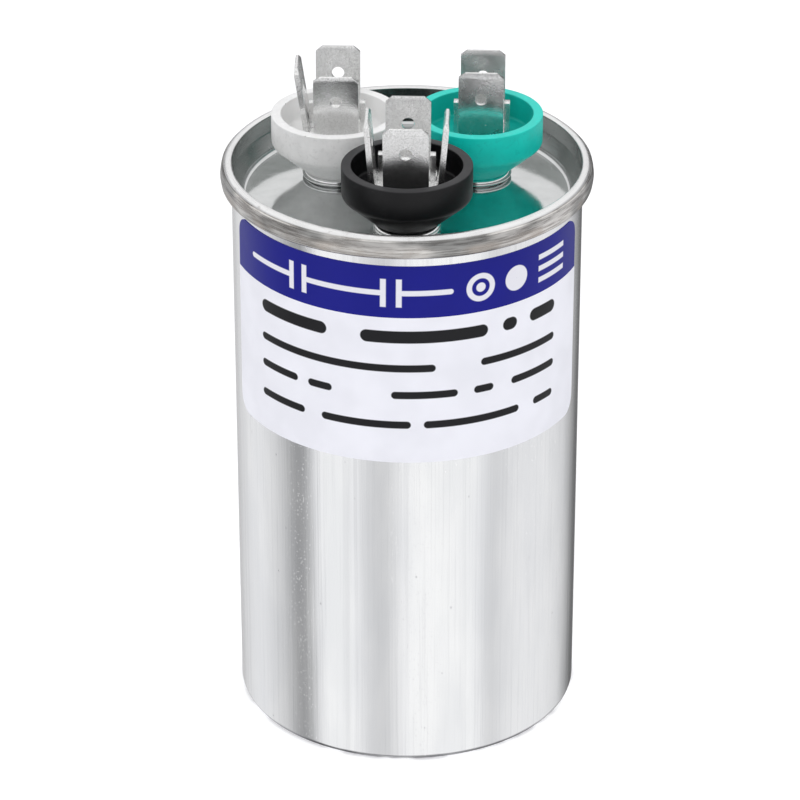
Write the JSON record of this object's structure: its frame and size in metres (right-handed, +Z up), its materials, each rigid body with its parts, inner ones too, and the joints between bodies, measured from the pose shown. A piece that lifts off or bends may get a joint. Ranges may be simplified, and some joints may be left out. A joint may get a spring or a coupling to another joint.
{
  "type": "motor run capacitor",
  "caption": "Round aluminium can capacitor with a double-seamed cover, insulating cups round groups of push-on tabs, and a wrapped label with a coloured band.",
  "frame": {"origin": "centre of the can's flat base", "axes": "+Z up along the can's axis, towards the terminals; -Y towards the middle of the label; the common terminal is at -Y"},
  "size_m": [0.0532, 0.0532, 0.0985],
  "materials": {
    "can_aluminium": "drawn satin",
    "cover_tinplate": "bright rolled",
    "seam_sealant": "matte",
    "label_film": "satin film",
    "label_band_film": "printed film",
    "cup_black": "moulded",
    "cup_white": "moulded",
    "cup_teal": "moulded",
    "gasket_rubber": "matte",
    "washer_phenolic": "pressed board",
    "stud_steel": "tin plated",
    "tab_tin": "tin plated",
    "disc_board": "pressed board",
    "lead_copper": "tinned copper ribbon",
    "winding_film": "metallised film",
    "end_spray": "sprayed zinc",
    "spacer_board": "pressed board",
    "core_plastic": "moulded",
    "sleeve_plastic": "sheet",
    "pan_plastic": "moulded"
  },
  "bodies": {
    "root": {"can": "can_aluminium", "cover": "cover_tinplate", "seam_compound": "seam_sealant", "label": "label_film", "label_band": "label_band_film", "common_cup": "cup_black", "compressor_cup": "cup_white", "fan_cup": "cup_teal", "common_gasket": "gasket_rubber", "compressor_gasket": "gasket_rubber", "fan_gasket": "gasket_rubber", "common_washer": "washer_phenolic", "compressor_washer": "washer_phenolic", "fan_washer": "washer_phenolic", "common_stud": "stud_steel", "compressor_stud": "stud_steel", "fan_stud": "stud_steel", "common_tabs": "tab_tin", "compressor_tabs": "tab_tin", "fan_tabs": "tab_tin", "common_side_tabs": "tab_tin", "compressor_side_tab": "tab_tin", "interrupter_disc": "disc_board", "common_lead": "lead_copper", "compressor_lead": "lead_copper", "fan_lead": "lead_copper", "compressor_winding": "winding_film", "fan_winding": "winding_film", "compressor_end_spray": "end_spray", "fan_end_spray": "end_spray", "winding_spacer": "spacer_board", "winding_core": "core_plastic", "insulating_sleeve": "sleeve_plastic", "base_pan": "pan_plastic"}
  },
  "joints": []
}
